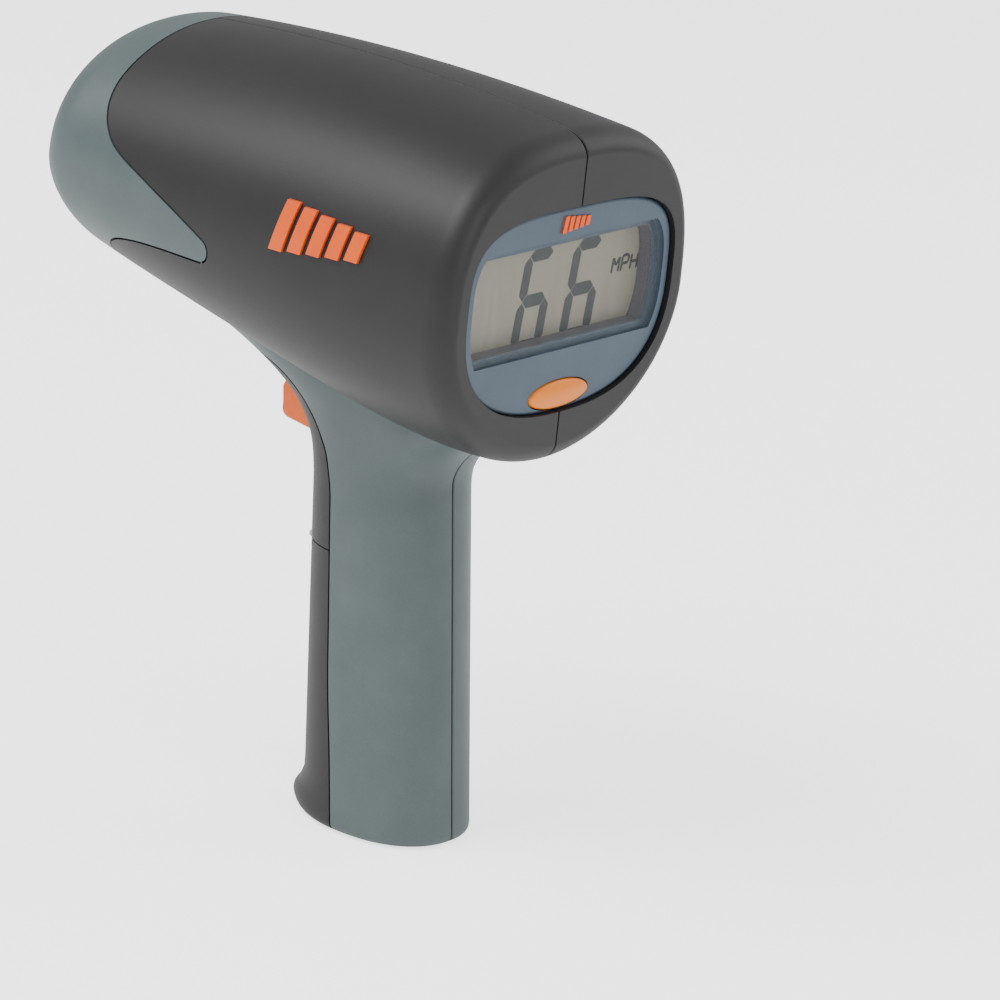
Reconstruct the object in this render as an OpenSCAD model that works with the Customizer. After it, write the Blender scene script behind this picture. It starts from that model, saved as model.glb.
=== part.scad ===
// Hand-held speed radar gun: a rounded barrel on a raked pistol grip.
// Units are millimetres. +Z is up, the nose points along -Y and the display faces +Y.
// The origin is on the ground under the middle of the gun's bounding box.

/* [Barrel] */
// Length from the display face to the nose
barrel_len = 152; // [130:1:185]
// Height of the highest point of the barrel
top_z = 213; // [205:1:225]
// Half of the greatest width of the barrel
half_w = 54.5; // [50:0.5:62]
// Wall thickness of the barrel and the grip
wall = 2.4; // [1.8:0.1:3.2]
// Thickness of the display face around the bezel
rear_wall = 3; // [2.4:0.1:4]
// Thickness of the radome at the edge of its dome
nose_wall = 2.6; // [2:0.1:3.4]

/* [Grip] */
// Half width of the grip, across X
grip_half_w = 20.6; // [19.5:0.1:25]
// Front of the grip at the ground
grip_front_y = 8.9; // [6:0.1:11]
// Back of the grip at the ground
grip_rear_y = 56; // [53:0.1:62]
// Forward lean of the back of the grip, per millimetre of height
rear_rake = 0.126; // [0.11:0.002:0.14]
// Forward lean of the front of the grip, per millimetre of height
front_rake = 0.08; // [0.06:0.001:0.09]

/* [Display] */
// Half width of the bezel
bezel_half_w = 45.4; // [42:0.1:47]
// Height of the bezel's widest level
bezel_mid_z = 163; // [160:0.5:166]
// Bezel height above its widest level
bezel_up = 25; // [23:0.1:27]
// Bezel height below its widest level
bezel_down = 32; // [30:0.1:34]
// Lower edge of the window
window_low_z = 148.4; // [146:0.1:151]
// Upper edge of the window
window_high_z = 179; // [176:0.1:182]
// Depth of the liquid crystal panel behind the face
lcd_depth = 7; // [5:0.1:9]
// Clearance around pieces that drop into the bezel
fit_gap = 0.2; // [0.1:0.05:0.4]
// How far the bezel sits below the rim of the barrel
bezel_sink = 1.2; // [0.8:0.1:1.5]

/* [Power button] */
// Half width of the button
button_half_w = 13; // [11:0.1:15]
// Half height of the button
button_half_h = 3.9; // [3.4:0.1:4.5]
// Height of the button's centre
button_z = 135.6; // [135:0.1:137]
// How far the button travels when pressed
button_travel = 0.8; // [0.5:0.1:1]
// Gap around the button
button_gap = 0.35; // [0.3:0.05:0.5]

/* [Trigger] */
// Width of the trigger
trigger_w = 11; // [9:0.1:12]
// Radius of the trigger's pivot pin
pin_r = 1.5; // [1.2:0.1:1.8]
// Radial running clearance on pins
pin_clear = 0.05; // [0.03:0.01:0.08]
// Gap between the trigger and its slot
slot_gap = 0.6; // [0.5:0.1:1]
// Height of the trigger's pivot
pivot_z = 122; // [121:0.1:123]
// Y of the trigger's pivot
pivot_y = -5.5; // [-7:0.1:-4.5]

/* [Battery door] */
// Height of the door's hinge axis
hinge_z = 79; // [76:0.5:81]
// Depth of the hinge axis behind the front of the grip
hinge_depth = 2.6; // [2.4:0.1:3]
// Radius of the rolled top edge of the door
roll_r = 3.6; // [3.4:0.1:4]
// Gap between the door and what surrounds it
door_gap = 0.35; // [0.3:0.05:0.6]

/* [Cells] */
// Diameter of a C cell
cell_d = 26.2; // [26.2:0.1:26.4]
// Length of a C cell with its terminal
cell_len = 50; // [50:0.1:50.5]
// Height of the lower cell's base on the stack axis
cell_base_z = 12.5; // [12:0.1:13.5]
// Lean of the stack, in degrees
cell_lean = 7; // [6.5:0.1:7.5]

/* [Antenna and boards] */
// Height of the horn's axis
horn_z = 175; // [173:0.5:176]
// Inner radius of the horn's mouth
horn_mouth_r = 26.5; // [24:0.5:27.5]
// Length of the horn
horn_len = 56; // [50:1:60]
// Wall of the horn
horn_wall = 1.2; // [1:0.1:1.6]
// Thickness of every circuit board
board_t = 1.6; // [1.2:0.1:2]
// Radius of the case screws
screw_r = 1.5; // [1.25:0.05:1.5]

/* [Hidden] */

shell_col = "#3b393a";
grip_col = "#77837f";
orange_col = "#f5731e";
bezel_col = "#66788a";
metal_col = "#b9bcbf";
board_col = "#2f6b45";

rear_y = barrel_len / 2;
face_y = rear_y - bezel_sink;
nose_y = -barrel_len / 2;

// ---- curves shared by the barrel and everything that fits it ----

// Parabola through three values at the start, the middle and the end
function quad(a, m, b, u) = a * (1 - u) * (1 - 2 * u) + 4 * m * u * (1 - u) + b * u * (2 * u - 1);
// Quartic through five values at quarters of the length
function quartic(v, u) = let (t = 4 * u)
    v[0] * (t - 1) * (t - 2) * (t - 3) * (t - 4) / 24 - v[1] * t * (t - 2) * (t - 3) * (t - 4) / 6
    + v[2] * t * (t - 1) * (t - 3) * (t - 4) / 4 - v[3] * t * (t - 1) * (t - 2) * (t - 4) / 6
    + v[4] * t * (t - 1) * (t - 2) * (t - 3) / 24;
// Radius factor of a superellipse of exponent n at angle t
function super_r(t, n) = pow(pow(abs(cos(t)), n) + pow(abs(sin(t)), n), -1 / n);

function barrel_top(u) = quad(top_z - 6.2, top_z, top_z - 4.3, u);
function barrel_low(u) = quartic([116.4, 118, 126.1, 134.6, 144], u);
function barrel_half(u) = quad(half_w, half_w - 1, half_w - 4.5, u);
function upper_n(u) = quad(2.75, 2.2, 2.15, u);
function lower_n(u) = quad(1.93, 2.02, 1.71, u);
// How far the skin is drawn in by the rounded rear rim at u of the length
rim_in = 5.5;
rim_deep = 8;
function rim(u) = let (a = max(0, 1 - u * barrel_len / rim_deep)) rim_in * (1 - sqrt(1 - a * a));
// Share of the full section left by the rounded nose, which ends in a shallow dome
nose_deep = 12.2;
dome_deep = 0.6;
dome_share = 0.73;
function nose(u) = let (d = (1 - u) * barrel_len)
    d < dome_deep ? dome_share * sqrt(max(0, d) / dome_deep) :
    let (b = max(0, 1 - (d - dome_deep) / nose_deep)) dome_share + (1 - dome_share) * sqrt(1 - b * b);

// One point of the skin, drawn in by a depth, at u of the length and angle t
function skin(u, t, in) = let (top = barrel_top(u) - rim(u) - in, low = barrel_low(u) + rim(u) + in,
        mid = barrel_low(u) + 0.48 * (barrel_top(u) - barrel_low(u)), n = sin(t) > 0 ? upper_n(u) : lower_n(u),
        r = super_r(t, n) * nose(u))
    [(barrel_half(u) - rim(u) - in) * cos(t) * r, rear_y - u * barrel_len,
     mid + (sin(t) > 0 ? top - mid : mid - low) * sin(t) * r];

// Closed solid through rings of points that all have the same count
module loft(rings) {
    n = len(rings[0]);
    m = len(rings);
    sides = [for (i = [0:m - 2]) for (j = [0:n - 1]) let (a = i * n + j, b = i * n + (j + 1) % n)
        each [[a, a + n, b + n], [a, b + n, b]]];
    caps = [[for (j = [0:n - 1]) j], [for (j = [n - 1:-1:0]) (m - 1) * n + j]];
    polyhedron(points = [for (r = rings) each r], faces = concat(sides, caps), convexity = 6);
}

// Stations along the barrel, which crowd together where the rear rim curves away
function stations(from, to) = concat([for (k = [0:5]) from + (rim_deep + 1 - from) * (1 - cos(15 * k))],
    [for (k = [0:11]) rim_deep + 1 + (to - rim_deep - 1) * k / 11]);
// Left half of the barrel, drawn in by a depth, from one station to another
module half_barrel(in, from, to) {
    loft([for (s = stations(from, to)) [for (k = [0:20]) skin(s / barrel_len, 9 * k - 90, in)]]);
}
// Whole front of the barrel, drawn in by a depth, from one station to another
module front_barrel(in, from, to) {
    bend = barrel_len - nose_deep - dome_deep;
    shoulder = min(to, barrel_len - dome_deep);
    loft([for (s = concat([for (k = [0:6]) from + (bend - from) * k / 6],
            [for (k = [1:6]) bend + (shoulder - bend) * sin(15 * k)],
            to > shoulder ? [for (k = [1:3]) shoulder + (to - shoulder) * (1 - pow(1 - k / 3, 2))] : []))
        [for (k = [0:47]) skin(s / barrel_len, 7.5 * k, in)]]);
}
// Outline of the barrel at a station, drawn in by a depth, for a plate that stands across it
module section(s, in) {
    polygon([for (k = [0:59]) let (p = skin(s / barrel_len, 6 * k, in)) [p[0], p[2]]]);
}
// Extrudes an XZ outline from one Y to another
module facing(from, to) {
    translate([0, to, 0]) rotate([90, 0, 0]) linear_extrude(to - from) children();
}
// Extrudes a YZ outline from one X to another
module sideways(from, to) {
    translate([from, 0, 0]) rotate([90, 0, 90]) linear_extrude(to - from) children();
}
module rod_y(r, from, to) {
    translate([0, to, 0]) rotate([90, 0, 0]) cylinder(r = r, h = to - from, $fn = 48);
}
module rod_x(r, from, to) {
    translate([from, 0, 0]) rotate([0, 90, 0]) cylinder(r = r, h = to - from, $fn = 48);
}

// ---- side outlines of the seams ----

// The nose cap ends on a plane across the barrel, with a wing running back on each side
cap_y = -54;
wing_tip = [-7.6, 162.4];
wing_r = 4;
module cap_outline() {
    polygon(concat(
        [[nose_y - 10, 100], [nose_y - 10, 230], [cap_y, 230], [cap_y, 198], [cap_y + 1.4, 192.5], [cap_y + 4.6, 187.2], [cap_y + 10, 182.4]],
        [for (a = [70:-20:-90]) wing_tip + wing_r * [cos(a) - 1, sin(a)]],
        [[cap_y + 27, 158.2], [cap_y + 16, 157.4], [cap_y + 7.5, 155.6], [cap_y + 2, 152.6],
            [cap_y, 149.5], [cap_y, 100]]));
}
// The dark strap covers the front of the grip up to this line
seam = [[29.4, -4], [26.2, 20], [22.9, 41.5], [16.9, 96], [16.1, 99], [14.9, 104.2], [13.8, 107.1], [12.3, 109.6],
    [10.8, 112], [9, 114.4], [7, 116.8], [4.6, 119.1], [1.7, 122], [-2, 124.8], [-7, 127.2], [-26, 131.5]];
module strap_outline() {
    polygon(concat(seam, [[-60, 131.5], [-60, -4]]));
}

// ---- curves of the grip ----
flare_z = 102;
flare_top = 140;
flare_run = 49.6;
grip_top_z = 142;
toe_out = 4.8;
toe_z = 5;
foot_r = 2.6;
function flare(z) = flare_run * pow(max(0, z - flare_z) / (flare_top - flare_z), 2.27);
function heel(z) = 0.05 * pow(max(0, min(z, 119) - 100), 2);
// Both ends of the grip's outline are drawn in where the foot is rounded
function foot(z) = foot_r - sqrt(pow(foot_r, 2) - pow(max(0, foot_r - z), 2));
function front_y(z) = grip_front_y - front_rake * z - flare(z);
function back_y(z) = grip_rear_y - rear_rake * z + heel(z);
function grip_w(z) = grip_half_w + 0.0032 * pow(max(0, z - 95), 2);
function grip_n(z) = 2.27 + 0.8 * max(0, z - 98) / 42;
// Only the front of the outline runs out into the toe
function toe(z, near) = toe_out * exp(-pow((z - toe_z) / 4.5, 2)) * max(0, 1.3 * near - 0.3);
function grip_pt(z, a, in) = let (f = front_y(z) + foot(z) + in, b = back_y(z) - foot(z) - in,
        r = super_r(a, grip_n(z)))
    [(grip_w(z) - foot(z) - in) * cos(a) * r,
     (f + b) / 2 + (b - f) / 2 * sin(a) * r - toe(z, -sin(a) * r), z];
function levels(from) = concat([for (k = [0:4]) from + (9 - from) * (1 - cos(22.5 * k))], [20, 46, 72],
    [for (k = [0:11]) flare_z - 8 + (grip_top_z - flare_z + 8) * (1 - pow(1 - k / 11, 1.3))]);
module half_grip(in, from) {
    loft([for (z = levels(from)) [for (k = [0:18]) grip_pt(z, 10 * k - 90, in)]]);
}
module both_sides() {
    children();
    mirror([1, 0, 0]) children();
}
module half_grip_shell() {
    difference() {
        half_grip(0, 0);
        half_grip(wall, wall);
        half_barrel(0, 0, shell_to);
        sideways(-1, grip_half_w + 20) cap_outline();
    }
}

// ---- housing ----
// The shells are lofted a little past the plane of the nose cap
shell_to = barrel_len - 20;

// Y and Z of each case screw
screw_spots = [[57, 197], [-22, 205], [62, 126.5], [-20, 141.5]];
post_r = 3.2;
post_gap = 0.1;
head_r = 2.9;
head_h = 2;
pilot_deep = 9;
// Depth of the shoulder under each screw head, to the right of the middle
shoulder_x = 7;
pin_boss_r = 3.4;

module bezel_outline(grow) {
    polygon([for (a = [0:6:354]) let (r = super_r(a, sin(a) > 0 ? 3.6 : 2.5))
        [(bezel_half_w + grow) * cos(a) * r,
         bezel_mid_z + ((sin(a) > 0 ? bezel_up : bezel_down) + grow) * sin(a) * r]]);
}
// Way through for the leads between the grip and the barrel
lead_y = 21;
lead_r = 6.5;
module barrel_half_shell() {
    difference() {
        union() {
            difference() {
                half_barrel(0, 0, shell_to);
                half_barrel(wall, rear_wall, shell_to + 1);
            }
            intersection() {
                half_barrel(wall / 2, rear_wall / 2, shell_to);
                for (p = screw_spots) translate([0, p[0], p[1]]) rod_x(post_r, post_gap, half_w);
            }
        }
        sideways(-1, half_w + 5) cap_outline();
        facing(rear_y - rear_wall - 1, rear_y + 1) bezel_outline(fit_gap);
        translate([0, lead_y, 100]) cylinder(r = lead_r, h = 35, $fn = 48);
    }
}
module barrel_left_shell() color(shell_col) difference() {
    barrel_half_shell();
    for (p = screw_spots) translate([0, p[0], p[1]]) rod_x(screw_r, -1, pilot_deep);
}
module barrel_right_shell() color(shell_col) difference() {
    mirror([1, 0, 0]) barrel_half_shell();
    for (p = screw_spots) translate([0, p[0], p[1]]) {
        rod_x(screw_r + fit_gap, -shoulder_x - 1, 1);
        rod_x(head_r + fit_gap, -half_w - 5, -shoulder_x);
    }
}
module case_screws() color(metal_col)
    for (p = screw_spots) translate([0, p[0], p[1]]) difference() {
        union() {
            rod_x(screw_r, -shoulder_x - 0.5, pilot_deep - 1);
            rod_x(head_r, -shoulder_x - head_h, -shoulder_x);
        }
        translate([-shoulder_x - head_h, 0, 0]) cube([2, 0.8, 3.6], center = true);
        translate([-shoulder_x - head_h, 0, 0]) cube([2, 3.6, 0.8], center = true);
    }
module nose_cap() color(grip_col) difference() {
    intersection() {
        front_barrel(0, cap_from, barrel_len - 0.05);
        sideways(-half_w - 5, half_w + 5) cap_outline();
    }
    front_barrel(wall, cap_from - 2, barrel_len - dome_deep - nose_wall);
}
cap_from = rear_y - wing_tip[0] - 4;
module nose_seal() color("#26282a") facing(cap_y - 2, cap_y + 2) difference() {
    section(rear_y - cap_y + 2, wall + fit_gap);
    section(rear_y - cap_y + 2, wall + fit_gap + 1.6);
}

module pin_boss(grow) {
    translate([0, pivot_y, pivot_z]) rod_x(pin_boss_r + grow, trigger_w / 2 + slot_gap, grip_half_w + 10);
}
switch_y = pivot_y + 10.9;
switch_z = pivot_z - 6;
switch_size = [5.8, 6.5, 12.8];
peg_r = 1.1;
peg_y = switch_y + 3.4;
peg_end = 14;
rib_back = 6.6;
module grip_half() {
    difference() {
        union() {
            difference() {
                half_grip_shell();
                sideways(-1, grip_half_w + 20) strap_outline();
            }
            intersection() {
                half_grip(wall / 2, 0);
                pin_boss(0);
            }
        }
        translate([0, pivot_y, pivot_z]) rod_x(pin_r, -1, pin_half);
    }
}
pin_half = 12;
module grip_left_shell() color(grip_col) {
    grip_half();
    // Pegs that the trigger switch sits on, each on a rib that meets the shell behind the strap
    intersection() {
        half_grip(wall / 2, 0);
        for (d = [-4.2, 4.2]) translate([0, peg_y, switch_z + d]) {
            rod_x(peg_r, -switch_size[0] / 2, peg_end);
            translate([peg_end - 2, -peg_r, -peg_r]) cube([2, rib_back + peg_r, 2 * peg_r]);
            translate([peg_end - 2, rib_back - 3, -peg_r]) cube([grip_half_w, 3, 2 * peg_r]);
        }
    }
}
module grip_right_shell() color(grip_col) mirror([1, 0, 0]) grip_half();

// ---- dark strap and battery door ----
hinge_y = front_y(hinge_z) + hinge_depth;
hinge_pin_r = 1;
// The door's roll is the middle of the hinge and the strap's rolls are its two ends
roll_half = 8.6;
hinge_half = 12.4;
module hinge_rod(r, from, to) {
    translate([0, hinge_y, hinge_z]) rod_x(r, from, to);
}
module strap_skin(shift) {
    both_sides() intersection() {
        half_grip_shell();
        sideways(0, grip_half_w + 20) translate([-shift, 0]) strap_outline();
    }
}
module trigger_strap() color(shell_col) difference() {
    union() {
        difference() {
            strap_skin(0);
            translate([-50, -40, -10]) cube([100, 90, hinge_z + 10 + door_gap]);
        }
        both_sides() intersection() {
            half_grip(0, 0);
            hinge_rod(roll_r, roll_half + door_gap, grip_half_w + 10);
        }
    }
    hinge_rod(roll_r + door_gap, -roll_half - door_gap, roll_half + door_gap);
    hinge_rod(hinge_pin_r, -hinge_half + 1, hinge_half - 1);
    both_sides() intersection() {
        half_grip(wall / 2 - 0.2, 0);
        pin_boss(door_gap);
    }
    // Slot for the trigger
    translate([-trigger_w / 2 - slot_gap, -40, trigger_low_z - slot_gap])
        cube([trigger_w + 2 * slot_gap, 50, slot_top_z - trigger_low_z + slot_gap]);
}
module battery_door() color(shell_col) difference() {
    union() {
        difference() {
            strap_skin(door_gap);
            translate([-50, -40, hinge_z]) cube([100, 90, 80]);
            both_sides() hinge_rod(roll_r + door_gap, roll_half, grip_half_w + 10);
        }
        both_sides() intersection() {
            half_grip(0, 0);
            hinge_rod(roll_r, 0, roll_half);
        }
    }
    hinge_rod(hinge_pin_r + pin_clear, -roll_half - 1, roll_half + 1);
}
module door_hinge_pin() color(metal_col) hinge_rod(hinge_pin_r, -hinge_half + 1, hinge_half - 1);

// ---- badges: plain slanted bars ----
bar_count = 5;
bar_pitch = 6.4;
bar_w = 4.4;
badge_y = 14.5;
badge_z = 169.5;
badge_h = 14;
badge_out = 1;
bar_lean = 3.2;
module badge_bars(pitch, wide, high, lean) {
    for (k = [0:bar_count - 1]) let (low = high * 0.11 * k)
        polygon([[pitch * k, low / 2], [pitch * k + wide, low / 2],
            [pitch * k + wide + lean * (1 - 0.11 * k), high - low / 2], [pitch * k + lean * (1 - 0.11 * k), high - low / 2]]);
}
module side_badge() color(orange_col) difference() {
    intersection() {
        badge_patch(-badge_out);
        sideways(1, half_w + 5) translate([badge_y, badge_z]) badge_bars(bar_pitch, bar_w, badge_h, bar_lean);
    }
    badge_patch(-0.06);
}
// Stretch of the barrel's skin that carries the badge
module badge_patch(in) {
    from = rear_y - badge_y - bar_count * bar_pitch - 6;
    loft([for (k = [0:6]) [for (t = [-54:9:54]) skin((from + 7.5 * k) / barrel_len, t, in)]]);
}
module side_badge_left() side_badge();
module side_badge_right() mirror([1, 0, 0]) side_badge();
bezel_badge_z = window_high_z + 2.2;
module bezel_badge() color(orange_col) facing(face_y - 0.6, face_y + 0.5)
    translate([bar_count * 1.3, bezel_badge_z]) mirror([1, 0]) badge_bars(2.5, 1.7, 4.6, 1);

// ---- display ----
bezel_t = 3;
window_t = 1.4;
window_sink = 0.6;
window_inset = 3.4;
module window_outline(grow) {
    intersection() {
        bezel_outline(grow - window_inset);
        translate([-bezel_half_w, window_low_z - grow]) square([2 * bezel_half_w, window_high_z - window_low_z + 2 * grow]);
    }
}
// The button ends at the rim's plane, so it stands proud by as much as the bezel is sunk
flange_t = 1;
button_y = face_y - bezel_t - button_travel - flange_t - 0.7;
module button_outline(grow) {
    polygon([for (a = [0:6:354]) [(button_half_w + grow) * cos(a), button_z + (button_half_h + grow) * sin(a)]]);
}
lcd_front = face_y - lcd_depth;
lcd_t = 2.6;
lcd_half_w = bezel_half_w - window_inset - 1.6;
zebra_t = 4;
board_y = lcd_front - lcd_t - zebra_t - board_t;
display_posts = [[-33, 144], [33, 144], [-34, 182.5], [34, 182.5]];
module display_bezel() color(bezel_col) difference() {
    union() {
        facing(face_y - bezel_t, face_y) bezel_outline(0);
        for (p = display_posts) translate([p[0], 0, p[1]]) rod_y(2.6, board_y + board_t, face_y - bezel_t);
    }
    facing(face_y - bezel_t - 1, face_y + 1) window_outline(-1.6);
    facing(face_y - window_sink - window_t, face_y + 1) window_outline(fit_gap);
    facing(face_y - bezel_t - 1, face_y + 1) button_outline(button_gap);
    for (p = display_posts) translate([p[0], 0, p[1]]) rod_y(0.9, board_y, board_y + 7);
    facing(face_y - 0.6, face_y + 1) translate([bar_count * 1.3, bezel_badge_z]) mirror([1, 0])
        badge_bars(2.5, 1.7, 4.6, 1);
}
module display_window() color([0.8, 0.85, 0.85, 0.35]) facing(face_y - window_sink - window_t, face_y - window_sink)
    window_outline(0);
module lcd_tray() color("#5f5a60") difference() {
    facing(lcd_front - lcd_t, face_y - bezel_t - 0.1) window_outline(0.6);
    facing(lcd_front - lcd_t - 1, face_y) window_outline(-1.6);
    translate([-lcd_half_w - fit_gap, lcd_front - lcd_t - 1, window_low_z - fit_gap])
        cube([2 * (lcd_half_w + fit_gap), lcd_t + 1, window_high_z - window_low_z + 2 * fit_gap]);
}
module lcd_panel() color("#a8a49c") intersection() {
    translate([-lcd_half_w, lcd_front - lcd_t, window_low_z]) cube([2 * lcd_half_w, lcd_t, window_high_z - window_low_z]);
    facing(lcd_front - lcd_t, lcd_front) window_outline(0.4);
}
module zebra_strips() color("#d8879a")
    for (z = [window_low_z + 1, window_high_z - 3.4]) translate([-lcd_half_w + 6, lcd_front - lcd_t - zebra_t, z])
        cube([2 * lcd_half_w - 12, zebra_t, 2.4]);
module display_board() color(board_col) difference() {
    facing(board_y, board_y + board_t) bezel_outline(-3);
    for (p = display_posts) translate([p[0], 0, p[1]]) rod_y(1.2, board_y - 1, board_y + board_t + 1);
}
module display_screws() color(metal_col)
    for (p = display_posts) translate([p[0], 0, p[1]]) {
        rod_y(0.9, board_y, board_y + 6);
        rod_y(2, board_y - 1.4, board_y);
    }
module power_button() color(orange_col) {
    facing(button_y, rear_y) button_outline(0);
    facing(button_y, button_y + flange_t) button_outline(1);
}
switch_cap_r = 1.7;
switch_h = 3.5;
switch_cap_y = board_y + board_t + switch_h;
// How far the plunger reaches into the switch at rest
switch_hold = 1;
module power_switch_plunger() color("#202224") translate([0, 0, button_z]) rod_y(switch_cap_r, switch_cap_y - switch_hold, button_y);
module power_switch() color("#34373a") difference() {
    translate([-3, board_y + board_t, button_z - 3]) cube([6, switch_h, 6]);
    translate([0, 0, button_z])
        rod_y(switch_cap_r + 0.1, switch_cap_y - switch_hold - button_travel - 0.4, switch_cap_y + 1);
}

// ---- antenna ----
horn_mouth_y = nose_y + 10;
throat_r = 5;
throat_y = horn_mouth_y + horn_len;
module horn_antenna() color(metal_col) translate([0, 0, horn_z]) difference() {
    union() {
        translate([0, throat_y, 0]) rotate([90, 0, 0]) rotate_extrude($fn = 96) polygon([[throat_r, 0],
            [throat_r + horn_wall, 0], [throat_r + horn_wall, 6], [horn_mouth_r + horn_wall, horn_len - 3],
            [horn_mouth_r + horn_wall + 1.4, horn_len - 3], [horn_mouth_r + horn_wall + 1.4, horn_len],
            [horn_mouth_r, horn_len], [throat_r, 5]]);
        facing(throat_y - 2, throat_y) square(36, center = true);
    }
    rod_y(throat_r, throat_y - 3, throat_y + 1);
    for (x = [-14, 14]) for (z = [-14, 14]) translate([x, 0, z]) rod_y(1.1, throat_y - 3, throat_y + 1);
}
frame_y = -30;
frame_t = 2.4;
function horn_r(y) = horn_mouth_r + horn_wall - (y - horn_mouth_y - 3) * (horn_mouth_r - throat_r) / (horn_len - 9);
module horn_frame() color("#2c2e30") facing(frame_y - frame_t, frame_y) difference() {
    section(rear_y - frame_y + frame_t, wall + 0.5);
    translate([0, horn_z]) circle(r = horn_r(frame_y - frame_t) + fit_gap, $fn = 72);
    for (x = [-34, 34]) translate([x, horn_z]) circle(r = 6, $fn = 48);
    for (p = [screw_spots[1], screw_spots[3]]) translate([0, p[1]]) circle(r = post_r + 1.6, $fn = 48);
}
module_t = 12;
module transceiver_module() color("#9fa3a6") translate([0, 0, horn_z]) difference() {
    facing(throat_y + 0.05, throat_y + module_t) square(38, center = true);
    for (x = [-14, 14]) for (z = [-14, 14]) translate([x, 0, z]) rod_y(1, throat_y - 1, throat_y + 7);
}
module transceiver_screws() color(metal_col) translate([0, 0, horn_z])
    for (x = [-14, 14]) for (z = [-14, 14]) translate([x, 0, z]) {
        rod_y(1, throat_y - 2, throat_y + 6);
        rod_y(2, throat_y - 3.4, throat_y - 2);
    }

// ---- main board ----
bracket_y = throat_y + module_t;
bracket_t = 1.6;
post_len = 11;
main_y = bracket_y + bracket_t + post_len;
post_spots = [[-27, 147], [27, 147], [-27, 191], [27, 191]];
module board_bracket() color("#b4b8bb") facing(bracket_y, bracket_y + bracket_t) difference() {
    translate([-32, 143]) square([64, 52]);
    for (p = post_spots) translate(p) circle(r = 1.2, $fn = 32);
    translate([0, horn_z]) circle(r = 8, $fn = 48);
}
module board_posts() color("#c8b560")
    for (p = post_spots) translate([p[0], 0, p[1]]) difference() {
        rod_y(2.4, bracket_y + bracket_t, main_y);
        rod_y(1, main_y - 6, main_y + 1);
    }
module main_board() color(board_col) facing(main_y, main_y + board_t) difference() {
    hull() for (x = [-31, 31]) for (z = [144, 194]) translate([x, z]) circle(r = 3, $fn = 32);
    for (p = post_spots) translate(p) circle(r = 1.2, $fn = 32);
}
module board_screws() color(metal_col)
    for (p = post_spots) translate([p[0], 0, p[1]]) {
        rod_y(1, main_y - 5, main_y + board_t);
        rod_y(2, main_y + board_t, main_y + board_t + 1.4);
    }
main_back = main_y + board_t;
module shield_can() color("#c3c6c8") difference() {
    translate([-20, main_back, 166]) cube([30, 4, 22]);
    translate([-19.6, main_back - 0.1, 166.4]) cube([29.2, 3.7, 21.2]);
}
module processor_chips() color("#1d1f21") {
    translate([-8, main_back, 149]) cube([12, 1.4, 12]);
    translate([12, main_back, 152]) cube([8, 1.4, 5]);
    translate([16, main_back, 170]) cube([6, 1.6, 10]);
}
module board_connectors() color("#e6e2d6") {
    translate([-ribbon_x - ribbon_w / 2 - 1, main_back, ribbon_z - 2.5]) cube([ribbon_w + 2, 3, 4]);
    translate([-ribbon_x - ribbon_w / 2 - 1, board_y - 3, ribbon_z - 14.5]) cube([ribbon_w + 2, 3, 4]);
    translate([-24, main_back, plug_z]) cube([20, 5, 5]);
}
ribbon_x = -18;
ribbon_w = 12;
ribbon_z = 193;
ribbon_t = 0.4;
function ribbon_pt(k) = [main_back + 3 + (board_y - main_back - 6) * k / 20, ribbon_z - 12 * k / 20 + 5 * sin(9 * k)];
module ribbon_cable() color("#c9c4b4") sideways(-ribbon_x - ribbon_w / 2, -ribbon_x + ribbon_w / 2)
    polygon(concat([for (k = [0:20]) ribbon_pt(k)], [for (k = [20:-1:0]) ribbon_pt(k) - [0, ribbon_t]]));

// ---- cells ----
cell_gap = 0.25;
cradle_gap = 0.8;
cradle_wall = 1.05;
cradle_r = cell_d / 2 + cell_gap + cradle_wall;
stack_y = back_y(cell_base_z) - wall - cradle_r - cradle_gap;
spring_h = 5;
plate_t = 0.5;
cap_t = 1;
stack_top = 2 * cell_len + plate_t;
module stack() {
    translate([0, stack_y, cell_base_z]) rotate([cell_lean, 0, 0]) children();
}
module battery_cradle() color("#2a2c2e") stack() difference() {
    translate([0, 0, -spring_h - cap_t]) cylinder(r = cradle_r, h = stack_top + spring_h + 2 * cap_t, $fn = 96);
    translate([0, 0, -spring_h]) cylinder(r = cradle_r - cradle_wall, h = stack_top + spring_h, $fn = 96);
    // Open towards the door
    translate([-cradle_r - 1, -cradle_r - 1, -spring_h]) cube([2 * cradle_r + 2, cradle_r - 2, stack_top + spring_h]);
    // The top cap stops short of the trigger switch
    translate([-cradle_r - 1, -cradle_r - 1, stack_top - 1]) cube([2 * cradle_r + 2, 5, cap_t + 2]);
    // Slot for the lead that runs up behind the cells
    translate([-1.2, cradle_r - cradle_wall - 1, -spring_h]) cube([2.4, 3, stack_top + spring_h + 5]);
    translate([0, 0, stack_top - 1]) cylinder(r = 2, h = 5, $fn = 32);
}
nub_r = 3;
nub_h = 2;
module cell() {
    cylinder(r = cell_d / 2, h = cell_len - nub_h, $fn = 96);
    cylinder(r = nub_r, h = cell_len, $fn = 48);
}
module battery_cell_lower() color("#8b5a2b") stack() cell();
module battery_cell_upper() color("#8b5a2b") stack() translate([0, 0, cell_len]) cell();
coil_turns = 3.5;
coil_wire_r = 0.4;
function coil_pt(k) = let (a = 18 * k, r = 8 - 3.5 * k / (20 * coil_turns)) [r * cos(a), r * sin(a), 0];
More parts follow.
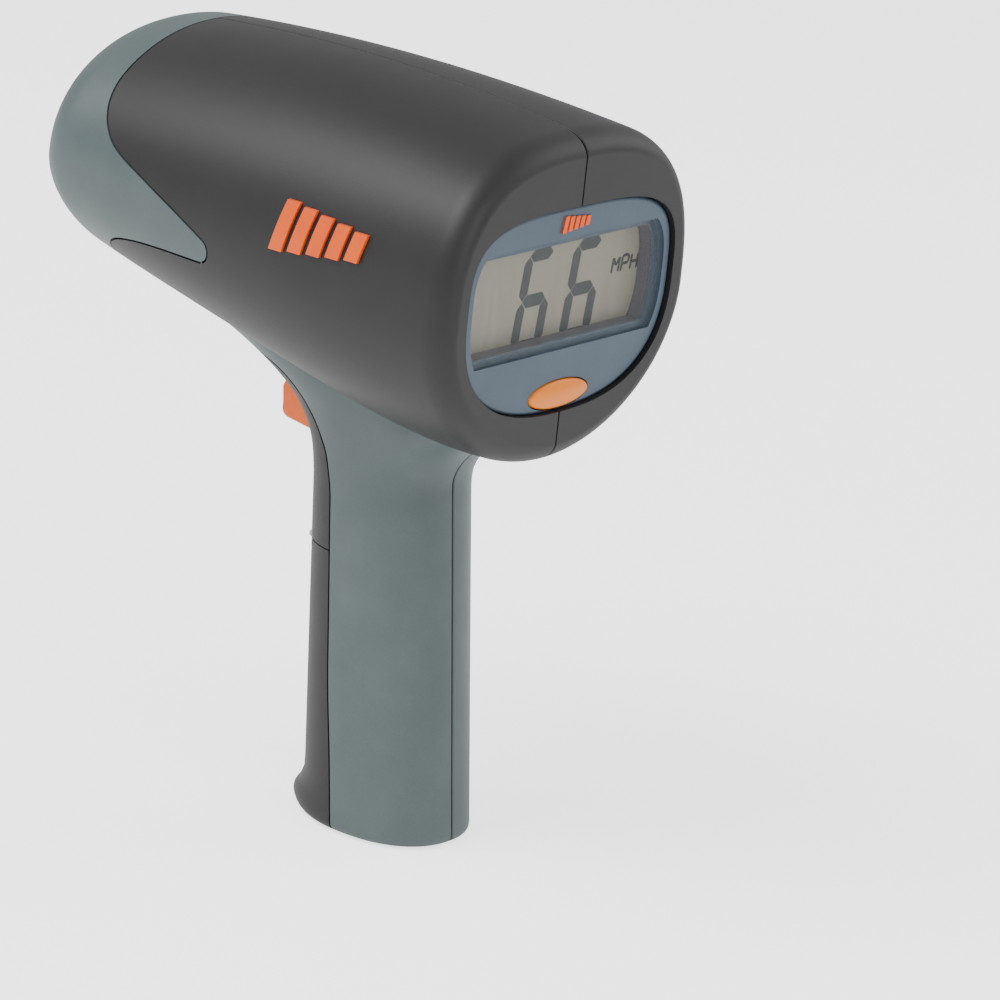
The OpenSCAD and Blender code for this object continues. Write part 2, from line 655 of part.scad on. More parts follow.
// Conical coil as rings of eight points around its wire
module contact_spring() color(metal_col) stack() {
    last = 20 * coil_turns;
    loft([for (k = [0:last]) let (c = coil_pt(k), a = 18 * k,
            z = -spring_h + coil_wire_r + (spring_h - 2 * coil_wire_r) * k / last)
        [for (j = [0:7]) c + [coil_wire_r * cos(45 * j) * cos(a), coil_wire_r * cos(45 * j) * sin(a),
            z + coil_wire_r * sin(45 * j)]]]);
}
module contact_plate() color(metal_col) stack() translate([0, 0, 2 * cell_len]) cylinder(r = 8, h = plate_t, $fn = 64);

// Round wire swept through points, as rings of eight
function unit(v) = v / norm(v);
function heading(path, k) = let (last = len(path) - 1)
    unit((k > 0 ? unit(path[k] - path[k - 1]) : [0, 0, 0]) + (k < last ? unit(path[k + 1] - path[k]) : [0, 0, 0]));
module wire(path, r) {
    loft([for (k = [0:len(path) - 1]) let (t = heading(path, k), u = unit(cross([1, 0, 0], t)), v = cross(t, u))
        [for (a = [0:45:315]) path[k] + r * (cos(a) * u + sin(a) * v)]]);
}
lead_wire_r = 0.5;
function from_stack(p) = [p[0], stack_y + p[1] * cos(cell_lean) - p[2] * sin(cell_lean),
    cell_base_z + p[1] * sin(cell_lean) + p[2] * cos(cell_lean)];
stack_cap = from_stack([0, 0, stack_top + cap_t]);
plug_y = main_back + 2.5;
plug_z = 142;
// Each lead bends under its place on the connector, at this height
bend_z = plug_z - 5;
module battery_lead_positive() color("#b3261e") wire([from_stack([0, 0, stack_top + 0.6]),
    [-2.5, lead_y + 1, stack_cap[2] + 4], [-3, lead_y, bend_z - 4], [-12, plug_y, bend_z], [-12, plug_y, plug_z - 0.1]],
    lead_wire_r);
module battery_lead_negative() color("#1c1c1c") wire([from_stack([0, cradle_r - 0.6, -spring_h + 1]),
    from_stack([0, cradle_r - 0.6, stack_top + 2]), [2.5, lead_y + 3, stack_cap[2] + 5], [3, lead_y + 2, bend_z - 5],
    [-7, plug_y, bend_z], [-7, plug_y, plug_z - 0.1]], lead_wire_r);

// ---- trigger ----
trigger_low_z = pivot_z - 16;
slot_top_z = pivot_z - 0.2;
blade_y = pivot_y - 8.6;
module trigger_outline() {
    translate([pivot_y, pivot_z]) circle(r = 3.9, $fn = 64);
    polygon(concat(
        [[pivot_y - 3.8, pivot_z - 0.7], [pivot_y - 5.6, pivot_z - 0.9], [pivot_y - 7.2, pivot_z - 2.6],
            [blade_y + 0.6, pivot_z - 4], [blade_y - 0.5, pivot_z - 6.3], [blade_y, pivot_z - 10.5]],
        [for (a = [190:14:260]) [blade_y + 2.6 + 2.6 * cos(a), pivot_z - 12.3 + 2.6 * sin(a)]],
        [[pivot_y + 1.5, trigger_low_z], [pivot_y + 5.5, trigger_low_z + 0.6], [pivot_y + 6.2, pivot_z - 7.8],
            [switch_y - 1.7, pivot_z - 7.6], [switch_y - 1.7, pivot_z - 4], [pivot_y + 3.6, pivot_z + 1.5]]));
}
module trigger() color(orange_col) difference() {
    sideways(-trigger_w / 2, trigger_w / 2) trigger_outline();
    translate([0, pivot_y, pivot_z]) rod_x(pin_r + pin_clear, -trigger_w, trigger_w);
    // Recess for the return spring on the right of the eye
    translate([0, pivot_y, pivot_z]) rod_x(2.9, -trigger_w, -trigger_w / 2 + 2.4);
}
module trigger_pin() color(metal_col) translate([0, pivot_y, pivot_z]) rod_x(pin_r, -pin_half, pin_half);
module trigger_spring() color(metal_col) translate([-trigger_w / 2 + 0.3, pivot_y, pivot_z]) rotate([0, 90, 0])
    rotate_extrude($fn = 48) translate([pin_r + 0.25, 0]) square([0.8, 1.8]);
module trigger_switch() color("#1f2123") difference() {
    translate([-switch_size[0] / 2, switch_y, switch_z - switch_size[2] / 2]) cube(switch_size);
    for (d = [-4.2, 4.2]) translate([0, peg_y, switch_z + d]) rod_x(peg_r, -5, 5);
    translate([0, 0, switch_z]) rod_y(1, switch_y - 1, switch_y + 2.2);
}
module trigger_switch_plunger() color("#d9d4c6") translate([0, 0, switch_z]) {
    rod_y(0.9, switch_y - 1, switch_y + 0.8);
    translate([0, switch_y - 1, 0]) sphere(r = 0.62, $fn = 24);
}
module trigger_leads() color("#3c5fa8") for (x = [-1.6, 1.6])
    wire([[x, switch_y + switch_size[1] + 0.6, switch_z + 3], [x, lead_y - 4.5, switch_z + 6],
        [x, lead_y - 4.5, bend_z - 5], [x - 18, plug_y, bend_z], [x - 18, plug_y, plug_z - 0.1]], lead_wire_r);

barrel_left_shell();
barrel_right_shell();
nose_cap();
nose_seal();
grip_left_shell();
grip_right_shell();
trigger_strap();
battery_door();
door_hinge_pin();
case_screws();
side_badge_left();
side_badge_right();
bezel_badge();
display_bezel();
display_window();
lcd_tray();
lcd_panel();
zebra_strips();
display_board();
display_screws();
power_button();
power_switch_plunger();
power_switch();
horn_antenna();
horn_frame();
transceiver_module();
transceiver_screws();
board_bracket();
board_posts();
main_board();
board_screws();
shield_can();
processor_chips();
board_connectors();
ribbon_cable();
battery_cradle();
battery_cell_lower();
battery_cell_upper();
contact_spring();
contact_plate();
battery_lead_positive();
battery_lead_negative();
trigger();
trigger_pin();
trigger_spring();
trigger_switch();
trigger_switch_plunger();
trigger_leads();
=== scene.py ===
import math

import bpy
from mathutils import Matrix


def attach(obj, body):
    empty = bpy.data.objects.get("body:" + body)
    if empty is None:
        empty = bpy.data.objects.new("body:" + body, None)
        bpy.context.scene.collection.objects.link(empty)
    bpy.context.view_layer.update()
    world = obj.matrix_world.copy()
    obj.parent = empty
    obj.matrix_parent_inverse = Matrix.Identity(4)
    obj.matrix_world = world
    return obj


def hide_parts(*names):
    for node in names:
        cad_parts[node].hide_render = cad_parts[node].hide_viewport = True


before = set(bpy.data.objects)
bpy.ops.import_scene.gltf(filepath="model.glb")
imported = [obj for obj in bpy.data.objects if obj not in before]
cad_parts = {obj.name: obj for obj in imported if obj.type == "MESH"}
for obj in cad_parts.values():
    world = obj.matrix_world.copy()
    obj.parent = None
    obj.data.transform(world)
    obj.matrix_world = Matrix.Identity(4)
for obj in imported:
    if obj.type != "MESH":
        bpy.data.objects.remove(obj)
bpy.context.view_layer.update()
bpy.ops.object.select_all(action="DESELECT")

# ---- camera ----
# A long lens at hand height, a little above and behind the gun's left side,
# tilted slightly about its own axis as a hand-held camera is.
azimuth, elevation, roll = math.radians(125.91), math.radians(17.11), math.radians(6.2)
distance = 1.65415
aim = (-0.00341, 0.05709, 0.10004)
bpy.ops.object.camera_add()
camera = bpy.context.object
camera.name = "camera"
back = (math.sin(azimuth) * math.cos(elevation), -math.cos(azimuth) * math.cos(elevation), math.sin(elevation))
camera.location = [a + distance * b for a, b in zip(aim, back)]
camera.rotation_euler = (math.pi / 2 - elevation, 0, azimuth)
camera.rotation_mode = "XYZ"
camera.rotation_euler.rotate_axis("Z", roll)
camera.data.lens = 218.3
camera.data.sensor_width = 36
camera.data.clip_end = 20
bpy.context.scene.camera = camera

# ---- floor and studio light ----
# A matt white sweep that glows faintly, and more strongly towards the camera, a
# large overhead softbox to the left, weaker ones behind and on the right, and
# an even pale surround, so that every shadow is soft.


def linear(code):
    """Linear RGBA of an sRGB hex colour."""
    parts = [int(code[i:i + 2], 16) / 255 for i in (1, 3, 5)]
    return [p / 12.92 if p <= 0.04045 else ((p + 0.055) / 1.055) ** 2.4 for p in parts] + [1]


def add_node(tree, kind, settings=None, links=None):
    """Adds a node. A setting or link is named by its socket's name or number, or is a property of the node."""
    node = tree.nodes.new(kind)
    for key, value in (settings or {}).items():
        if isinstance(key, int) or key in node.inputs:
            node.inputs[key].default_value = value
        else:
            setattr(node, key, value)
    for key, socket in (links or {}).items():
        tree.links.new(socket, node.inputs[key])
    return node


def empty_material(name):
    """A new material and its node tree, which holds only the output."""
    material = bpy.data.materials.new(name)
    material.use_nodes = True
    tree = material.node_tree
    tree.nodes.clear()
    return material, tree


def finish_material(tree, shader):
    add_node(tree, "ShaderNodeOutputMaterial", links={"Surface": shader.outputs[0]})


floor_half = 4
bpy.ops.mesh.primitive_grid_add(x_subdivisions=8, y_subdivisions=8, size=2 * floor_half, location=(0, 0, -0.0004))
floor = bpy.context.object
floor.name = "studio_floor"
paper, tree = empty_material("matt_white_paper")
place = add_node(tree, "ShaderNodeTexCoord")
fibre = add_node(tree, "ShaderNodeTexNoise", {"Scale": 900, "Detail": 2}, {"Vector": place.outputs["Object"]})
tone = add_node(tree, "ShaderNodeMix", {"data_type": "RGBA", 6: linear("#f4f4f3"), 7: linear("#fafafa")},
                {0: fibre.outputs["Fac"]})
path = add_node(tree, "ShaderNodeLightPath")
seen_glow, cast_glow = 1.5, 0.35
glow = add_node(tree, "ShaderNodeMath", {"operation": "MULTIPLY_ADD", 1: seen_glow, 2: cast_glow},
                {0: path.outputs["Is Camera Ray"]})
finish_material(tree, add_node(tree, "ShaderNodeBsdfPrincipled",
                               {"Roughness": 0.9, "Specular IOR Level": 0.1, "Emission Color": linear("#ffffff")},
                               {"Base Color": tone.outputs[2], "Emission Strength": glow.outputs[0]}))
floor.data.materials.append(paper)

world = bpy.data.worlds.new("pale_surround")
world.use_nodes = True
bpy.context.scene.world = world
world.node_tree.nodes["Background"].inputs["Color"].default_value = linear("#f7f8fa")
world.node_tree.nodes["Background"].inputs["Strength"].default_value = 0.65


def softbox(name, place, target, size, power):
    """A square area light at a place, turned towards a target."""
    bpy.ops.object.light_add(type="AREA", location=place)
    light = bpy.context.object
    light.name = name
    light.data.size = size
    light.data.energy = power
    towards = [t - p for t, p in zip(target, place)]
    flat = math.hypot(towards[0], towards[1])
    tilt, turn = math.atan2(towards[2], flat), math.atan2(towards[1], towards[0])
    light.rotation_euler = (math.pi / 2 + tilt, 0, turn - math.pi / 2)


middle = (0, 0, 0.12)
softbox("key_softbox", (0.9, -0.5, 1.5), middle, 1.1, 30)
softbox("rear_softbox", (0.4, 1.6, 0.9), middle, 0.9, 8)
softbox("fill_softbox", (-1.3, 0.6, 0.9), middle, 1.0, 6)

# ---- barrel shells ----
# Two clamshell halves moulded in ABS and painted with a soft-touch coat, which
# gives a dark satin face with a very fine grain. They meet in a narrow groove
# along the top and down the rear face, and four screws draw them together.
MM = 0.001
barrel_len, top_z, half_w, rear_y = 152, 213, 54.5, 76
wall, rear_wall = 2.4, 3
rim_in, rim_deep = 5.5, 8
nose_deep, dome_deep, dome_share = 12.2, 0.6, 0.73
shell_to = barrel_len - 20
groove, groove_round = 0.28, 0.4


def quad(a, m, b, u):
    return a * (1 - u) * (1 - 2 * u) + 4 * m * u * (1 - u) + b * u * (2 * u - 1)


def quartic(v, u):
    t = 4 * u
    return (v[0] * (t - 1) * (t - 2) * (t - 3) * (t - 4) / 24 - v[1] * t * (t - 2) * (t - 3) * (t - 4) / 6
            + v[2] * t * (t - 1) * (t - 3) * (t - 4) / 4 - v[3] * t * (t - 1) * (t - 2) * (t - 4) / 6
            + v[4] * t * (t - 1) * (t - 2) * (t - 3) / 24)


def super_r(t, n):
    """Radius factor of a superellipse of exponent n at an angle in degrees."""
    c, s = abs(math.cos(math.radians(t))), abs(math.sin(math.radians(t)))
    return (c ** n + s ** n) ** (-1 / n)


def skin(s, t, inset):
    """Point of the barrel's skin, drawn in by an inset, at a station and an angle in degrees."""
    u = s / barrel_len
    a = max(0, 1 - s / rim_deep)
    drawn = rim_in * (1 - math.sqrt(1 - a * a)) + inset
    low, high = quartic([116.4, 118, 126.1, 134.6, 144], u), quad(top_z - 6.2, top_z, top_z - 4.3, u)
    centre = low + 0.48 * (high - low)
    d = barrel_len - s
    if d < dome_deep:
        share = dome_share * math.sqrt(max(0, d) / dome_deep)
    else:
        b = max(0, 1 - (d - dome_deep) / nose_deep)
        share = dome_share + (1 - dome_share) * math.sqrt(1 - b * b)
    upper = math.sin(math.radians(t)) > 0
    n = quad(2.75, 2.2, 2.15, u) if upper else quad(1.93, 2.02, 1.71, u)
    r = super_r(t, n) * share
    reach = high - drawn - centre if upper else centre - low - drawn
    return ((quad(half_w, half_w - 1, half_w - 4.5, u) - drawn) * math.cos(math.radians(t)) * r, rear_y - s,
            centre + reach * math.sin(math.radians(t)) * r)


def wrap(name, rings):
    """A grid wrapped round a closed body through rings of points in millimetres, with its ends filled."""
    around, along = len(rings[0]), len(rings)
    bpy.ops.object.select_all(action="DESELECT")
    bpy.ops.mesh.primitive_grid_add(x_subdivisions=around, y_subdivisions=along - 1, size=1)
    piece = bpy.context.object
    piece.name = name
    points = [c * MM for ring in rings for k in range(around + 1) for c in ring[k % around]]
    piece.data.vertices.foreach_set("co", points)
    bpy.ops.object.mode_set(mode="EDIT")
    bpy.ops.mesh.select_all(action="SELECT")
    bpy.ops.mesh.remove_doubles(threshold=0.000002)
    bpy.ops.mesh.select_all(action="DESELECT")
    bpy.ops.mesh.select_mode(type="EDGE")
    bpy.ops.mesh.select_non_manifold(extend=False)
    bpy.ops.mesh.fill_holes(sides=0)
    bpy.ops.mesh.select_all(action="SELECT")
    bpy.ops.mesh.normals_make_consistent(inside=False)
    bpy.ops.object.mode_set(mode="OBJECT")
    return piece


def prism(name, outline, axis, start, end):
    """An outline in millimetres, filled and extruded along X (outline in Y, Z), Y (X, Z) or Z (X, Y)."""
    bpy.ops.object.select_all(action="DESELECT")
    bpy.ops.mesh.primitive_circle_add(vertices=len(outline), fill_type="NGON")
    piece = bpy.context.object
    piece.name = name
    for vertex, (a, b) in zip(piece.data.vertices, outline):
        point = [a, b]
        point.insert(axis, start)
        vertex.co = [c * MM for c in point]
    bpy.ops.object.mode_set(mode="EDIT")
    bpy.ops.mesh.select_all(action="SELECT")
    move = [0, 0, 0]
    move[axis] = (end - start) * MM
    bpy.ops.mesh.extrude_region_move(TRANSFORM_OT_translate={"value": move})
    bpy.ops.mesh.select_all(action="SELECT")
    bpy.ops.mesh.normals_make_consistent(inside=False)
    bpy.ops.object.mode_set(mode="OBJECT")
    return piece


def rod(axis, centre, r, start, end, sides=48):
    """A round bar or drill along an axis, in millimetres."""
    circle = [(centre[0] + r * math.cos(2 * math.pi * k / sides), centre[1] + r * math.sin(2 * math.pi * k / sides))
              for k in range(sides)]
    return prism("rod", circle, axis, start, end)


def boolean(piece, tool, how="DIFFERENCE"):
    """Cuts, joins or intersects a piece with a tool, which is used up."""
    change = piece.modifiers.new("cut", "BOOLEAN")
    change.operation = how
    change.solver = "MANIFOLD"
    change.object = tool
    bpy.context.view_layer.objects.active = piece
    bpy.ops.object.modifier_apply(modifier="cut")
    bpy.data.objects.remove(tool)
    if not piece.data.polygons:
        raise RuntimeError(piece.name + " is empty after a cut")
    return piece


def mirrored(piece, name):
    """A copy with its own mesh, mirrored to the other side of the middle plane."""
    bpy.ops.object.select_all(action="DESELECT")
    piece.select_set(True)
    bpy.context.view_layer.objects.active = piece
    bpy.ops.object.duplicate()
    other = bpy.context.object
    other.name = name
    for vertex in other.data.vertices:
        vertex.co.x = -vertex.co.x
    bpy.ops.object.mode_set(mode="EDIT")
    bpy.ops.mesh.select_all(action="SELECT")
    bpy.ops.mesh.flip_normals()
    bpy.ops.object.mode_set(mode="OBJECT")
    return other


def hand_over(piece, material, body, slot, *nodes, edge=0, angle=32):
    """Rounds the edges where asked, smooths the shading, paints the piece and hands it to its body."""
    bpy.ops.object.select_all(action="DESELECT")
    piece.select_set(True)
    bpy.context.view_layer.objects.active = piece
    if edge:
        change = piece.modifiers.new("edge", "BEVEL")
        change.width = edge * MM
        change.segments = 3
        change.limit_method = "ANGLE"
        change.angle_limit = math.radians(45)
        bpy.ops.object.modifier_apply(modifier="edge")
    bpy.ops.object.shade_smooth_by_angle(angle=math.radians(angle))
    change = piece.modifiers.new("shade", "WEIGHTED_NORMAL")
    change.keep_sharp = True
    bpy.ops.object.modifier_apply(modifier="shade")
    piece.data.materials.clear()
    piece.data.materials.append(material)
    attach(piece, body)
    if nodes:
        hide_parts(*nodes)


def moulded(name, dark, light, grain, bump, rough, patch=18, ior=1.5, metallic=0.0, coat=0.0, sheen=0.0):
    """Fine-grained surface: tone drifts over a patch size, grain is its texture in millimetres, bump its depth."""
    material, tree = empty_material(name)
    place = add_node(tree, "ShaderNodeTexCoord")
    drift = add_node(tree, "ShaderNodeTexNoise", {"Scale": 1 / (patch * MM), "Detail": 3, "Roughness": 0.55},
                     {"Vector": place.outputs["Object"]})
    fine = add_node(tree, "ShaderNodeTexNoise", {"Scale": 1 / (grain * MM), "Detail": 2, "Roughness": 0.6},
                    {"Vector": place.outputs["Object"]})
    both = add_node(tree, "ShaderNodeMix", {0: 0.4}, {2: drift.outputs["Fac"], 3: fine.outputs["Fac"]})
    spread = add_node(tree, "ShaderNodeMapRange", {"From Min": 0.35, "From Max": 0.65}, {"Value": both.outputs[0]})
    tone = add_node(tree, "ShaderNodeMix", {"data_type": "RGBA", 6: linear(dark), 7: linear(light)},
                    {0: spread.outputs[0]})
    gloss = add_node(tree, "ShaderNodeMapRange", {"To Min": rough - 0.05, "To Max": rough + 0.05},
                     {"Value": fine.outputs["Fac"]})
    height = add_node(tree, "ShaderNodeBump", {"Strength": 0.5, "Distance": bump * MM},
                      {"Height": fine.outputs["Fac"]})
    shader = add_node(tree, "ShaderNodeBsdfPrincipled",
                      {"IOR": ior, "Metallic": metallic, "Coat Weight": coat, "Coat Roughness": 0.15,
                       "Sheen Weight": sheen, "Sheen Roughness": 0.5},
                      {"Base Color": tone.outputs[2], "Roughness": gloss.outputs[0], "Normal": height.outputs[0]})
    finish_material(tree, shader)
    return material


def stations(start, end, steps):
    """Stations along the barrel, crowded where the rear rim curves away."""
    bend = rim_deep + 1
    return ([start + (bend - start) * (1 - math.cos(math.pi / 2 * k / 14)) for k in range(14)]
            + [bend + (end - bend) * k / steps for k in range(steps + 1)])


def half_barrel(name, inset, start, end, step, edge, rounding):
    """Left half of the barrel as a solid whose flat side stands at X = edge, with rounded corners along it."""
    rings = []
    for s in stations(start, end, 60 if step < 3 else 24):
        y, low, high = rear_y - s, skin(s, -90, inset)[2], skin(s, 90, inset)[2]
        corner = [(edge + rounding * (1 - math.cos(a)), rounding * (1 - math.sin(a)))
                  for a in (0, math.pi / 6, math.pi / 3, math.pi / 2)] if rounding else [(edge, 0)]
        count = round(180 / step)
        rings.append([(x, y, low + d) for x, d in corner]
                     + [skin(s, -90 + 180 * k / count, inset) for k in range(1, count)]
                     + [(x, y, high - d) for x, d in reversed(corner)])
    return wrap(name, rings)


def full_barrel(name, inset, places, count):
    return wrap(name, [[skin(s, 360 * k / count, inset) for k in range(count)] for s in places])


def flowing(points, steps=6):
    """A smooth line through points."""
    line, last = [], len(points) - 1
    for i in range(last):
        near = [points[max(0, min(last, k))] for k in (i - 1, i, i + 1, i + 2)]
        for k in range(steps):
            u = k / steps
            line.append(tuple(0.5 * (2 * b + (c - a) * u + (2 * a - 5 * b + 4 * c - d) * u * u
                                     + (3 * b - a - 3 * c + d) * u ** 3) for a, b, c, d in zip(*near)))
    return line + [points[last]]


def beside(line, gap):
    """The line moved sideways by a gap, to its left as it runs."""
    moved, last = [], len(line) - 1
    for i, (a, b) in enumerate(line):
        before, after = line[max(0, i - 1)], line[min(last, i + 1)]
        da, db = after[0] - before[0], after[1] - before[1]
        size = math.hypot(da, db)
        moved.append((a - db / size * gap, b + da / size * gap))
    return moved


cap_y = -54
wing_tip, wing_r = (-7.6, 162.4), 4
wing_line = flowing([(cap_y, 140), (cap_y, 146), (cap_y + 0.5, 150.2), (cap_y + 2.6, 152.9), (cap_y + 7.5, 155.6),
                     (cap_y + 16, 157.4), (cap_y + 27, 158.2)]
                    + [(wing_tip[0] + wing_r * (math.cos(math.radians(a)) - 1),
                        wing_tip[1] + wing_r * math.sin(math.radians(a))) for a in range(-90, 71, 20)]
                    + [(-20, 171.2), (-32, 176.8), (cap_y + 10, 182.4), (cap_y + 4.6, 187.2), (cap_y + 1.4, 192.5),
                       (cap_y, 198), (cap_y, 205)])


def cap_side(gap):
    """Outline of the nose cap from the side, drawn in by a gap."""
    line = beside(wing_line, gap)
    return [(-100, 100), (cap_y - gap, 100)] + line + [(cap_y - gap, 240), (-100, 240)]


bezel_half_w, bezel_mid_z, bezel_up, bezel_down = 45.4, 163, 25, 32
fit_gap = 0.2


def bezel_line(grow, count=144):
    line = []
    for k in range(count):
        a = 360 * k / count
        upper = a < 180
        r = super_r(a, 3.6 if upper and k else 2.5)
        line.append(((bezel_half_w + grow) * math.cos(math.radians(a)) * r,
                     bezel_mid_z + ((bezel_up if upper else bezel_down) + grow) * math.sin(math.radians(a)) * r))
    return line


screw_spots = [(57, 197), (-22, 205), (62, 126.5), (-20, 141.5)]
screw_r, head_r, shoulder_x, pilot_deep, post_r = 1.5, 2.9, 7, 9, 3.2
lead_y, lead_r = 21, 6.5
soft_touch = moulded("abs_soft_touch_painted", "#171617", "#1d1b1d", 0.5, 0.04, 0.5, sheen=0.03)

left_shell = half_barrel("barrel_left", 0, 0, shell_to, 2, groove, groove_round)
boolean(left_shell, half_barrel("hollow", wall, rear_wall, shell_to + 1, 5, -1, 0))
for spot in screw_spots:
    post = boolean(rod(0, spot, post_r, 0.1, half_w),
                   half_barrel("limit", wall / 2, rear_wall / 2, shell_to, 5, 0, 0), "INTERSECT")
    boolean(left_shell, post, "UNION")
boolean(left_shell, prism("cut", cap_side(0), 0, -1, half_w + 5))
boolean(left_shell, prism("cut", bezel_line(fit_gap), 1, rear_y - rear_wall - 1, rear_y + 1))
boolean(left_shell, rod(2, (0, lead_y), lead_r, 100, 135))
right_shell = mirrored(left_shell, "barrel_right")
for spot in screw_spots:
    boolean(left_shell, rod(0, spot, screw_r, -1, pilot_deep))
    boolean(right_shell, rod(0, spot, screw_r + fit_gap, -shoulder_x - 1, 1))
    boolean(right_shell, rod(0, spot, head_r + fit_gap, -half_w - 5, -shoulder_x))
hand_over(left_shell, soft_touch, "housing", "charcoal_soft_touch", "barrel_left_shell")
hand_over(right_shell, soft_touch, "housing", "charcoal_soft_touch", "barrel_right_shell")

# ---- nose cap ----
# The radome, moulded in a green-grey ABS that lets the radar beam through. It
# covers the whole front and runs back along each side in a rounded wing.
nose_wall = 2.6
cap_from = rear_y - wing_tip[0] - 4


def nose_places(start, end):
    bend, shoulder = barrel_len - nose_deep - dome_deep, min(end, barrel_len - dome_deep)
    places = [start + (bend - start) * k / 34 for k in range(35)]
    places += [bend + (shoulder - bend) * math.sin(math.pi / 2 * k / 14) for k in range(1, 15)]
    if end > shoulder:
        places += [shoulder + (end - shoulder) * (1 - (1 - k / 8) ** 2) for k in range(1, 9)]
    return places


satin_abs = moulded("abs_satin_moulded", "#4a5656", "#525f5f", 0.45, 0.03, 0.42)
nose = full_barrel("nose_radome", 0, nose_places(cap_from, barrel_len - 0.05), 180)
boolean(nose, full_barrel("hollow", wall, nose_places(cap_from - 2, barrel_len - dome_deep - nose_wall), 90))
boolean(nose, prism("limit", cap_side(2 * groove), 0, -half_w - 5, half_w + 5), "INTERSECT")
hand_over(nose, satin_abs, "housing", "grip_green_grey", "nose_cap")

# ---- grip halves ----
# Green-grey ABS halves that flare into a web under the barrel and part down the
# back. They leave the front to the dark strap and battery door, and the left
# one carries the trigger switch on two pegs with ribs.
grip_half_w, grip_front_y, grip_rear_y = 20.6, 8.9, 56
front_rake, rear_rake = 0.08, 0.126
flare_z, flare_top, flare_run, grip_top_z = 102, 140, 49.6, 142
foot_r, toe_out, toe_z = 2.6, 4.8, 5


def front_y(z):
    return grip_front_y - front_rake * z - flare_run * (max(0, z - flare_z) / (flare_top - flare_z)) ** 2.27


def grip_point(z, a, inset):
    foot = foot_r - math.sqrt(foot_r ** 2 - max(0, foot_r - z) ** 2)
    front = front_y(z) + foot + inset
    rear = grip_rear_y - rear_rake * z + 0.05 * max(0, min(z, 119) - 100) ** 2 - foot - inset
    r = super_r(a, 2.27 + 0.8 * max(0, z - 98) / 42)
    s = math.sin(math.radians(a)) * r
    toe = toe_out * math.exp(-((z - toe_z) / 4.5) ** 2) * max(0, -1.3 * s - 0.3)
    wide = grip_half_w + 0.0032 * max(0, z - 95) ** 2 - foot - inset
    return (wide * math.cos(math.radians(a)) * r, (front + rear) / 2 + (rear - front) / 2 * s - toe, z)


def levels(start):
    """Heights up the grip, crowded at the rounded foot and in the flare."""
    return ([start + (9 - start) * (1 - math.cos(math.pi / 2 * k / 10)) for k in range(10)]
            + [9 + (flare_z - 17) * k / 24 for k in range(24)]
            + [flare_z - 8 + (grip_top_z - flare_z + 8) * k / 26 for k in range(27)])


def half_grip(name, inset, start, edge, rounding):
    """Left half of the grip as a solid whose flat side stands at X = edge, rounded down its back corner."""
    rings = []
    for z in levels(start):
        front, rear = grip_point(z, -90, inset)[1], grip_point(z, 90, inset)[1]
        corner = [(edge + rounding * (1 - math.cos(a)), rounding * (1 - math.sin(a)))
                  for a in (0, math.pi / 6, math.pi / 3, math.pi / 2)] if rounding else [(edge, 0)]
        rings.append([(edge, front, z)] + [grip_point(z, 3 * k - 90, inset) for k in range(1, 60)]
                     + [(x, rear - d, z) for x, d in reversed(corner)])
    return wrap(name, rings)


def full_grip(name, inset, start):
    return wrap(name, [[grip_point(z, 3 * k, inset) for k in range(120)] for z in levels(start)])


def barrel_body():
    """The barrel's outside as a cutter for what meets it from below."""
    return full_barrel("limit", 0, stations(0, shell_to, 60), 180)


seam_line = flowing([(29.4, -4), (26.2, 20), (22.9, 41.5), (20.8, 60.5), (18.9, 78), (17.8, 88), (16.9, 96),
                     (14.9, 104.2), (13.8, 107.1), (12.3, 109.6), (9, 114.4), (4.6, 119.1), (1.7, 122),
                     (-2, 124.8), (-7, 127.2), (-14, 128.8), (-26, 131.5)])


def strap_side(gap):
    """Outline of the dark front of the grip from the side, drawn in by a gap."""
    line = beside(seam_line, gap)
    return line + [(-60, line[-1][1]), (-60, -4)]


pivot_y, pivot_z, pin_r, pin_half, pin_boss_r = -5.5, 122, 1.5, 12, 3.4
trigger_w, slot_gap = 11, 0.6
switch_y, switch_z, peg_r = pivot_y + 10.9, pivot_z - 6, 1.1
switch_half, peg_y, peg_end, rib_back = 2.9, switch_y + 3.4, 14, 6.6


def block(x, y, z):
    """A box between limits in X, Y and Z, in millimetres."""
    return prism("cut", [(x[0], y[0]), (x[1], y[0]), (x[1], y[1]), (x[0], y[1])], 2, z[0], z[1])


def in_wall(bar):
    """A boss or rib that stops inside the grip's wall."""
    return boolean(bar, half_grip("limit", wall / 2, 0, -1, 0), "INTERSECT")


left_grip = half_grip("grip_left", 0, 0, groove, groove_round)
boolean(left_grip, half_grip("hollow", wall, wall, -1, 0))
boolean(left_grip, barrel_body())
boolean(left_grip, prism("cut", cap_side(0), 0, -1, grip_half_w + 20))
boolean(left_grip, prism("cut", strap_side(0), 0, -1, grip_half_w + 20))
pin_boss = rod(0, (pivot_y, pivot_z), pin_boss_r, trigger_w / 2 + slot_gap, grip_half_w + 10)
boolean(left_grip, in_wall(pin_boss), "UNION")
boolean(left_grip, rod(0, (pivot_y, pivot_z), pin_r, -1, pin_half))
right_grip = mirrored(left_grip, "grip_right")
for d in (-4.2, 4.2):
    height = (switch_z + d - peg_r, switch_z + d + peg_r)
    boolean(left_grip, rod(0, (peg_y, switch_z + d), peg_r, -switch_half, peg_end), "UNION")
    boolean(left_grip, in_wall(block((peg_end - 2, peg_end), (peg_y - peg_r, peg_y + rib_back), height)), "UNION")
    boolean(left_grip, in_wall(block((peg_end - 2, 40), (peg_y + rib_back - 3, peg_y + rib_back), height)), "UNION")
hand_over(left_grip, satin_abs, "housing", "grip_green_grey", "grip_left_shell")
hand_over(right_grip, satin_abs, "housing", "grip_green_grey", "grip_right_shell")

